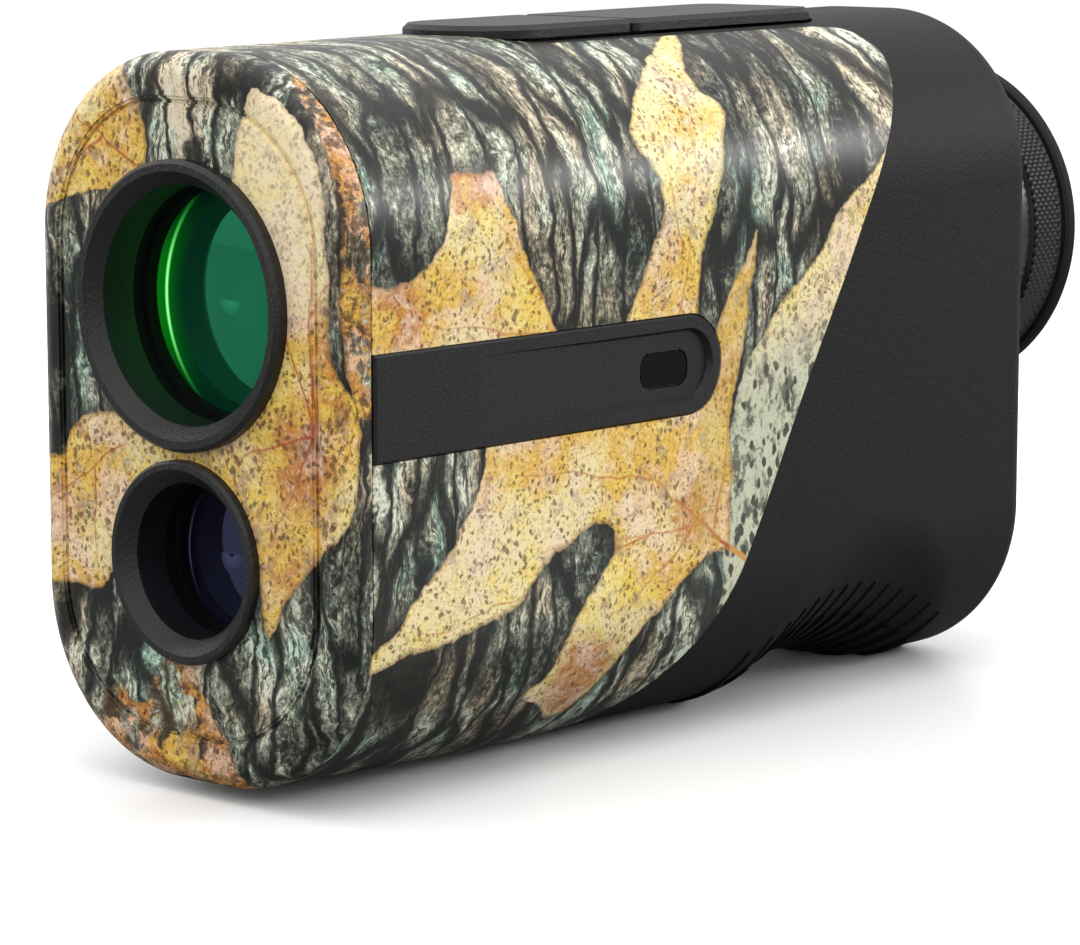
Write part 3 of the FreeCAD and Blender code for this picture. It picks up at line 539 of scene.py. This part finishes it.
    colour = mix(smooth(edge_leaf, -PRINT_EDGE, PRINT_EDGE), green_dots, creams)
    stalk = vein(calm_u, calm_v, (-6, 21.2), (5, 13.4), 0.42)
    colour = mix(stalk, colour, (0.62, 0.30, 0.07))
    colour = mix(smooth(golden, -PRINT_EDGE, PRINT_EDGE), colour, golds)
    return finish_print(look, colour)


def front_camo():
    """The front cover's print. On its side band the pattern is carried round the edge."""
    look = Look("cover_print")
    nx, _, nz = look.split(look.normal)
    deep = look.y - PANEL_Y
    across, up = look.x + nx * deep, look.z + nz * deep
    u, v = ruffled(look, across, up, SLOW_SHIFT, QUICK_SHIFT)
    calm_u, calm_v = ruffled(look, across, up, SLOW_SHIFT, CALM_SHIFT)

    high_left = across_lobe(
        u, v,
        [(75, -30), (54, -30)],
        [(75, -11), (69.5, -8.6), (67, -6.4), (64, -5.4), (60, -5), (57.4, -13), (56.6, -16), (54, -22)],
    )
    low_left = upright_lobe(
        u, v,
        [(-30, 31), (-19, 31), (-16.5, 33.6), (-13, 35.6), (-8, 36.4), (0, 36), (14, 38)],
        [(-30, 19.4), (-19, 18.6), (-14, 18.4), (-11, 20.5), (-6, 26), (14, 30)],
    )
    right = across_lobe(
        u, v,
        [(68, 9), (64, 7.6), (60, 7), (50, 4), (40, 4), (35, 0), (30, 5), (26, 8), (22, 10), (17, 10.6)],
        [(68, 10), (66.4, 13.4), (64, 16), (60, 17.8), (52, 18.8), (44, 19.4), (36, 23), (31, 22.4),
         (26, 18.6), (22, 15), (19, 12.6), (17, 11)],
    )
    corner = across_lobe(
        u, v,
        [(80, 12), (70, 13.5), (66, 16.6), (62, 18.8), (56, 20.2), (48, 20.4), (38, 22)],
        [(80, 40), (38, 40)],
    )
    foot = upright_lobe(
        u, v,
        [(-26, 16), (-18, 9), (-14, 8), (-10, 9.6), (-7, 8), (-4, 13), (-1, 15), (1.5, 11), (6, 4), (10, -4)],
        [(-26, -10), (10, -10)],
    )
    golden = highest(high_left, low_left, right)

    dark = lowest(highest(
        blot(u, v, (-17.5, 42), (4, 12)) * 0.9,
        blot(u, v, (-11, 14), (3.4, 10)),
        blot(u, v, (-3, 70.5), (4, 2)) * 0.6,
        blot(u, v, (10, 68.6), (2, 4)),
        blot(u, v, (22, 54), (4, 7)),
        blot(u, v, (20, 24), (5, 9)),
        blot(u, v, (9, 8), (3, 7)) * 0.5,
        blot(u, v, (16, 7), (4, 4)) * 0.7,
    ), 1.0)
    light = lowest(highest(
        blot(u, v, (1, 66), (9, 7)) * 1.5,
        blot(u, v, (8, 12), (6, 7)) * 0.9,
        blot(u, v, (-5, 10), (3, 6)) * 0.6,
        blot(u, v, (-16, 13), (3, 5)) * 0.6,
        blot(u, v, (15, 16), (3, 5)) * 0.8,
    ), 1.5)
    ground = bark(u + 40.0, v, dark, light)
    shade = smooth(golden, -1.8, 0.0) * 0.55
    ground = mix(shade, ground, (0.012, 0.010, 0.008))

    stem = (17, 36.4)
    veins = highest(
        vein(calm_u, calm_v, stem, (11, 54), 0.17),
        vein(calm_u, calm_v, stem, (16.6, 59), 0.17),
        vein(calm_u, calm_v, stem, (6, 33), 0.16),
        vein(calm_u, calm_v, stem, (11, 25), 0.15),
        vein(calm_u, calm_v, (14.2, 44), (8, 47), 0.14),
        vein(calm_u, calm_v, (16.8, 47), (19.6, 52), 0.14),
        vein(calm_u, calm_v, (-9, 33), (-20, 26), 0.13),
        vein(calm_u, calm_v, (-13, 30.5), (-13, 20), 0.14),
        vein(calm_u, calm_v, (-6, 60), (-18, 66), 0.15),
        vein(calm_u, calm_v, (-11, 62.6), (-19, 58), 0.14),
    )
    warm = highest(
        blot(u, v, (15, 34), (7, 7)),
        blot(u, v, (20, 44), (4, 12)) * 0.8,
        blot(u, v, (-18, 27), (6, 7)) * 0.5,
        blot(u, v, (14, 24), (5, 5)) * 0.7,
    )
    pale = smooth(v, 44.0, 56.0) * smooth(u, 2.0, 8.0)
    golds = leaf_colour(u, v, warm, pale, golden, 1.15)
    stain = noise(vector(u, v, 101.0), 0.75, 5.0, 0.7)
    golds = mix(smooth(stain, 0.54, 0.68) * 0.55, golds, (0.26, 0.12, 0.045))
    golds = mix(veins * 0.8, golds, STEM_RED)
    golds = mix(pale * 0.40, golds, (1.0, 0.86, 0.60))
    rust = leaf_colour(u, v, 0.8, 0.0, highest(corner, foot))
    # The rusty leaves are scorched through to the bark in places, and charred in others.
    scorch = noise(vector(u, v, 83.0), 0.22, 4.0, 0.65)
    rust = mix(smooth(scorch, 0.50, 0.57) * 0.9, rust, ground)
    char = noise(vector(u, v, 97.0), 0.9, 4.0, 0.7)
    rust = mix(smooth(char, 0.47, 0.60) * 0.75, rust, (0.035, 0.018, 0.010))
    burnt = noise(vector(u, v * 0.6, 89.0), 0.5, 4.0, 0.7)
    golds = mix(smooth(burnt, 0.56, 0.66) * smooth(u, 13.0, 20.0) * 0.8, golds, (0.10, 0.045, 0.02))

    colour = mix(smooth(highest(corner, foot), -PRINT_EDGE, PRINT_EDGE), ground, rust)
    colour = mix(smooth(golden, -PRINT_EDGE, PRINT_EDGE), colour, golds)
    return finish_print(look, colour)


def finish_print(look, colour):
    """A print under a thin satin lacquer with a faint orange peel."""
    peel = noise(look.place, 0.9, 2.0)
    grain = noise(look.place, 4.5, 2.0)
    look.set(Base_Color=colour, Roughness=0.38 + (grain - 0.5) * 0.10, Specular_IOR_Level=0.28)
    look.set(Coat_Weight=0.06, Coat_Roughness=0.20)
    look.bump(peel * 0.7 + grain * 0.3, 0.03, 0.35)
    return look.material


# ---------------------------------------------------------------- plain materials
def moulded(name, shade, roughness, grain_per_mm, depth_mm, strength=0.5, shine=0.2):
    """Dark plastic or rubber with a spark-eroded texture."""
    look = Look(name)
    fine = noise(look.place, grain_per_mm, 4.0, 0.6)
    slow = noise(look.place, 0.06, 2.0)
    worn = (slow - 0.5) * 0.3 + (fine - 0.5) * 0.5
    colour = ramp(worn + 0.5, [(0.2, tuple(c * 0.72 for c in shade)), (0.8, tuple(c * 1.3 for c in shade))])
    look.set(Base_Color=colour, Roughness=(fine - 0.5) * 0.18 + roughness, Specular_IOR_Level=shine)
    look.bump(fine, depth_mm, strength)
    return look.material


def metal(name, shade, roughness, stretch=(1.0, 1.0, 12.0)):
    """Machined or rolled metal with fine marks along one way."""
    look = Look(name)
    marks = noise(vector(look.x * stretch[0], look.y * stretch[1], look.z * stretch[2]), 0.9, 4.0, 0.6)
    colour = ramp(marks, [(0.3, tuple(c * 0.7 for c in shade)), (0.7, shade)])
    look.set(Base_Color=colour, Metallic=1.0, Roughness=(marks - 0.5) * 0.25 + roughness)
    look.bump(marks, 0.01, 0.3)
    return look.material


def glass(name, shade, transmission=0.9):
    look = Look(name)
    haze = noise(look.place, 0.35, 2.0)
    look.set(Base_Color=ramp(haze, [(0.3, tuple(c * 0.92 for c in shade)), (0.7, shade)]))
    look.set(Roughness=0.02 + (haze - 0.5) * 0.02, Transmission_Weight=transmission, IOR=1.52)
    return look.material


def coated_lens(name, tint, centre_z, radius, painted_glint_colour, painted_glint_strength):
    """A dark lens whose coating reflects one tint, with a painted reflection: a bright crescent painted
    inside its far rim and emitted as a painted glow, though the lens is no lamp.
    """
    look = Look(name)
    up = look.z - centre_z
    out = (look.x * look.x + up * up).op("SQRT")
    shifted = look.x - radius * 0.34
    inner = (shifted * shifted + up * up).op("SQRT")
    # Painted reflection: a bright crescent set by place inside the lens's far rim, not lit by any lamp.
    painted_crescent_glint = smooth(inner, radius * 0.90, radius * 1.30) * smooth(abs(up), radius * 0.9, radius * 0.2)
    film = noise(look.place, 0.12, 2.0)
    colour = ramp(film, [(0.3, tuple(c * 0.8 for c in tint)), (0.7, tint)])
    # Painted glint: a thinner, brighter line along the crescent's inner edge.
    painted_glint_core = smooth(abs(inner - radius * 1.16), radius * 0.035, 0.0) * smooth(abs(up), radius * 0.95, 0.2)
    # The painted crescent is laid into the base colour as well.
    look.set(Base_Color=mix(painted_crescent_glint, colour, painted_glint_colour), Metallic=0.85, Roughness=0.03 + (film - 0.5) * 0.02)
    # light here is the painted glint's colour. It is emitted, so the lens glows with painted light though it
    # is no lamp.
    light = mix(painted_glint_core, painted_glint_colour, tuple(min(1.0, c + 0.35) for c in painted_glint_colour))
    look.set(Emission_Color=light, Emission_Strength=(painted_crescent_glint * 0.26 + painted_glint_core * 2.2) * painted_glint_strength)
    return look.material


def circuit_board():
    look = Look("board_mask")
    tracks = cells(vector(look.y, look.z, look.x * 0.1), 0.55, "DISTANCE_TO_EDGE", 0.0)
    pads = cells(vector(look.y, look.z, 3.0), 0.42, "F1", 0.9)
    worn = noise(look.place, 0.5, 3.0)
    colour = ramp(worn, [(0.3, (0.006, 0.070, 0.030)), (0.7, (0.012, 0.110, 0.048))])
    colour = mix(smooth(tracks, 0.09, 0.05), colour, (0.030, 0.190, 0.085))
    colour = mix(smooth(pads, 0.16, 0.13), colour, (0.70, 0.62, 0.42))
    look.set(Base_Color=colour, Roughness=0.32 + (worn - 0.5) * 0.1)
    look.bump(smooth(tracks, 0.09, 0.05), 0.03, 0.6)
    return look.material


def cell_wrap():
    look = Look("cell_wrap")
    band = smooth(abs(look.y - BATTERY_Y), CAP_FROM_MIDDLE, CAP_FROM_MIDDLE + 0.4)
    wear = noise(look.place, 0.4, 3.0)
    colour = mix(band, (0.40, 0.41, 0.43), (0.78, 0.62, 0.16))
    look.set(Base_Color=mix(smooth(wear, 0.55, 0.7) * 0.25, colour, (0.2, 0.2, 0.2)))
    look.set(Metallic=0.35, Roughness=0.34 + (wear - 0.5) * 0.2)
    look.bump(wear, 0.03, 0.4)
    return look.material


materials = {
    "front_cover": front_camo(),
    "main_casing": side_camo(),
}
grip_black = moulded("grip_black", (0.0058, 0.0058, 0.0062), 0.55, 2.6, 0.11, 0.8)
trim_black = moulded("trim_black", (0.0052, 0.0052, 0.0056), 0.38, 3.0, 0.09, 0.8, 0.30)
button_black = moulded("button_black", (0.0062, 0.0062, 0.0066), 0.44, 2.8, 0.10, 0.8, 0.34)
bezel_black = moulded("bezel_black", (0.0080, 0.0082, 0.0085), 0.36, 2.6, 0.12, 0.9, 0.34)
barrel_black = moulded("barrel_black", (0.0026, 0.0026, 0.0030), 0.70, 1.6, 0.06, 0.8, 0.12)
ring_black = moulded("ring_black", (0.0110, 0.0110, 0.0114), 0.34, 2.0, 0.02, 0.4, 0.55)
plug_rubber = moulded("plug_rubber", (0.0030, 0.0030, 0.0032), 0.62, 2.4, 0.05, 0.6, 0.08)
seal_rubber = moulded("seal_rubber", (0.0100, 0.0100, 0.0105), 0.66, 1.8, 0.03, 0.5)
frame_grey = moulded("frame_grey", (0.055, 0.055, 0.060), 0.48, 1.4, 0.04, 0.5)
chip_black = moulded("chip_black", (0.020, 0.020, 0.022), 0.36, 3.0, 0.01, 0.3)
flex_amber = moulded("flex_amber", (0.40, 0.16, 0.02), 0.30, 1.0, 0.01, 0.3)
steel = metal("screw_steel", (0.42, 0.42, 0.43), 0.34)
spring = metal("spring_steel", (0.62, 0.62, 0.62), 0.28, (1.0, 12.0, 1.0))
can = metal("can_gold", (0.80, 0.66, 0.36), 0.30)
clear = glass("clear_glass", (0.86, 0.94, 0.92))
filter_red = glass("filter_red", (0.22, 0.01, 0.02), 0.55)
screen = glass("screen_glass", (0.24, 0.30, 0.27), 0.35)
board = circuit_board()

materials.update({
    "rear_grip": grip_black, "rear_cover": grip_black, "diopter_ring": grip_black,
    "side_strip": trim_black, "port_plug": plug_rubber, "usb_socket": steel, "button_base": trim_black,
    "mode_button": button_black, "power_button": button_black, "mode_switch": chip_black,
    "power_switch": chip_black, "button_board": board, "button_membranes": seal_rubber,
    "front_gasket": seal_rubber, "rear_screws": steel,
    "objective_bezel": bezel_black, "objective_barrel": barrel_black, "objective_retainer": barrel_black,
    "objective_baffle": barrel_black, "objective_rear_lens": clear, "objective_seal": seal_rubber,
    # Both lens materials carry a painted crescent reflection that is also emitted as a painted glow.
    "objective_lens": coated_lens(
        "objective_coat_painted_glint", (0.015, 0.260, 0.120), VIEW_Z, OBJECTIVE_R, (0.01, 0.80, 0.03), 0.55
    ),
    "front_prism": clear, "rear_prism": clear, "prism_clip": spring, "optical_frame": frame_grey,
    "frame_screws": steel, "display_panel": screen, "display_holder": frame_grey, "display_flex": flex_amber,
    "eyepiece_barrel": barrel_black, "field_lens": clear, "field_lens_holder": barrel_black,
    "eyepiece_cell": barrel_black, "eye_lens": clear, "eye_lens_retainer": barrel_black,
    "eyecup": seal_rubber, "eyepiece_seal": seal_rubber, "laser_diode": can, "laser_holder": frame_grey,
    "receiver_bezel": bezel_black, "receiver_barrel": barrel_black, "receiver_retainer": barrel_black,
    "receiver_lens": coated_lens(
        "receiver_coat_painted_glint", (0.050, 0.054, 0.125), RECEIVE_Z, RECEIVER_R, (0.004, 0.006, 0.040), 0.05
    ),
    "band_filter": filter_red, "detector_board": board, "photodiode": can, "main_board": board,
    "board_chips": chip_black, "board_screws": steel, "battery_tray": frame_grey, "battery": cell_wrap(),
    "battery_lead": flex_amber,
})
for name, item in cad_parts.items():
    item.data.materials.clear()
    item.data.materials.append(materials[name])
    for face in item.data.polygons:
        face.material_index = 0


# ---------------------------------------------------------------- the knurled focusing ring
def knurled_ring():
    """The turning ring with its band of small pyramids."""
    low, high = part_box("diopter_ring")
    front, rear = low.y * TO_MM, high.y * TO_MM
    band_front, band_rear = front + BAND_START, rear - BAND_REAR_GAP
    pitch = 2 * math.pi * BAND_R / KNURL_TEETH
    rows = int(round((band_rear - band_front) / (pitch / STEPS_PER_TOOTH)))
    profile = [
        (THREAD_R, front, 0.0), (RING_R - 0.3, front, 0.0), (RING_R, front + 0.3, 0.0),
        (RING_R, band_front - 0.25, 0.0), (BAND_R - KNURL_DEPTH, band_front - 0.05, 0.0),
    ]
    for row in range(rows + 1):
        profile.append((BAND_R, band_front + row * (band_rear - band_front) / rows, KNURL_DEPTH))
    seat = rear - EYECUP_SEAT_DEPTH
    profile += [
        (BAND_R - 0.05, rear - 0.15, 0.0), (BAND_R - 0.15, rear, 0.0), (EYECUP_SEAT_R, rear, 0.0),
        (EYECUP_SEAT_R, seat, 0.0), (BORE_R, seat, 0.0), (BORE_R, BORE_STEP_Y, 0.0),
        (THREAD_R, BORE_STEP_Y, 0.0),
    ]
    count = KNURL_TEETH * STEPS_PER_TOOTH
    mesh = bmesh.new()
    grid = []
    for step in range(count):
        angle = 2 * math.pi * step / count
        column = []
        for r, y, bite in profile:
            if bite:
                turns = step / STEPS_PER_TOOTH
                rise = (y - band_front) / pitch
                first = abs(((turns + rise) % 1.0) * 2 - 1)
                second = abs(((turns - rise) % 1.0) * 2 - 1)
                r -= bite * max(first, second)
            at = Vector((r * math.sin(angle), y, VIEW_Z + r * math.cos(angle))) * MM
            column.append(mesh.verts.new(at))
        grid.append(column)
    for step in range(count):
        here, there = grid[step], grid[(step + 1) % count]
        for i in range(len(profile)):
            j = (i + 1) % len(profile)
            mesh.faces.new((here[i], here[j], there[j], there[i]))
    bmesh.ops.recalc_face_normals(mesh, faces=mesh.faces)
    data = bpy.data.meshes.new("knurled_ring")
    mesh.to_mesh(data)
    mesh.free()
    data.materials.append(ring_black)
    ring = bpy.data.objects.new("knurled_ring", data)
    bpy.context.scene.collection.objects.link(ring)
    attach(ring, "diopter")
    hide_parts("diopter_ring")


knurled_ring()


# ---------------------------------------------------------------- floor, lights and camera
def floor():
    """A flat white floor. It bounces less light than it shows, which keeps the blacks deep."""
    mesh = bmesh.new()
    bmesh.ops.create_circle(mesh, cap_ends=True, segments=96, radius=FLOOR_R)
    data = bpy.data.meshes.new("floor")
    mesh.to_mesh(data)
    mesh.free()
    look = Look("floor_white")
    tone = noise(look.place, 0.004, 2.0)
    white = ramp(tone, [(0.3, (0.93, 0.93, 0.935)), (0.7, (0.96, 0.96, 0.96))])
    seen = Field(look.tree, look.tree.nodes.new("ShaderNodeLightPath").outputs["Is Camera Ray"])
    look.set(Base_Color=mix(seen, (BOUNCE_GREY,) * 3, white))
    look.set(Roughness=0.30 + (tone - 0.5) * 0.05, IOR=1.4)
    data.materials.append(look.material)
    item = bpy.data.objects.new("floor", data)
    bpy.context.scene.collection.objects.link(item)
    item.location.z = FLOOR_Z


def area_light(name, at, width, height, watts):
    """A soft box that faces the instrument."""
    data = bpy.data.lights.new(name, "AREA")
    data.shape = "RECTANGLE"
    data.size = width
    data.size_y = height
    data.energy = watts
    item = bpy.data.objects.new(name, data)
    item.location = at
    item.rotation_euler = (Vector(AIM) - Vector(at)).to_track_quat("-Z", "Y").to_euler()
    bpy.context.scene.collection.objects.link(item)


floor()
area_light("overhead", (0.0, 0.2, 1.7), 2.6, 2.6, 11.0)
area_light("key", (0.16, -0.10, 0.80), 0.60, 0.60, 1.2)
area_light("front_left", (-0.66, -0.14, 0.30), 0.08, 0.60, 0.9)
area_light("front_right", (0.34, -0.66, 0.34), 0.46, 0.46, 0.9)
area_light("rear_rim", (0.42, 0.50, 0.26), 0.30, 0.10, 1.5)


def sky():
    """White to the camera; to everything else, dimmer near the horizon than overhead."""
    world = bpy.data.worlds.new("studio")
    world.use_nodes = True
    tree = world.node_tree
    heading = tree.nodes.new("ShaderNodeTexCoord")
    split = tree.nodes.new("ShaderNodeSeparateXYZ")
    tree.links.new(heading.outputs["Generated"], split.inputs[0])
    climb = tree.nodes.new("ShaderNodeMapRange")
    tree.links.new(split.outputs["Z"], climb.inputs["Value"])
    climb.inputs["From Min"].default_value = 0.0
    climb.inputs["From Max"].default_value = HIGH_FROM
    climb.inputs["To Min"].default_value = HORIZON_LIGHT
    climb.inputs["To Max"].default_value = HIGH_LIGHT
    seen = Field(tree, tree.nodes.new("ShaderNodeLightPath").outputs["Is Camera Ray"])
    strength = highest(Field(tree, climb.outputs["Result"]) * (1.0 - seen), seen)
    tree.nodes["Background"].inputs["Color"].default_value = (1.0, 1.0, 1.0, 1.0)
    plug(tree, tree.nodes["Background"].inputs["Strength"], strength)
    bpy.context.scene.world = world


def place_camera():
    data = bpy.data.cameras.new("camera")
    data.sensor_width = 36.0
    data.lens = CAMERA_LENS
    data.clip_start = 0.01
    data.clip_end = 50.0
    camera = bpy.data.objects.new("camera", data)
    camera.location = CAMERA_AT
    camera.rotation_euler = [math.radians(angle) for angle in CAMERA_TURN]
    bpy.context.scene.collection.objects.link(camera)
    bpy.context.scene.camera = camera


sky()
place_camera()
bpy.context.scene.view_settings.view_transform = "Standard"
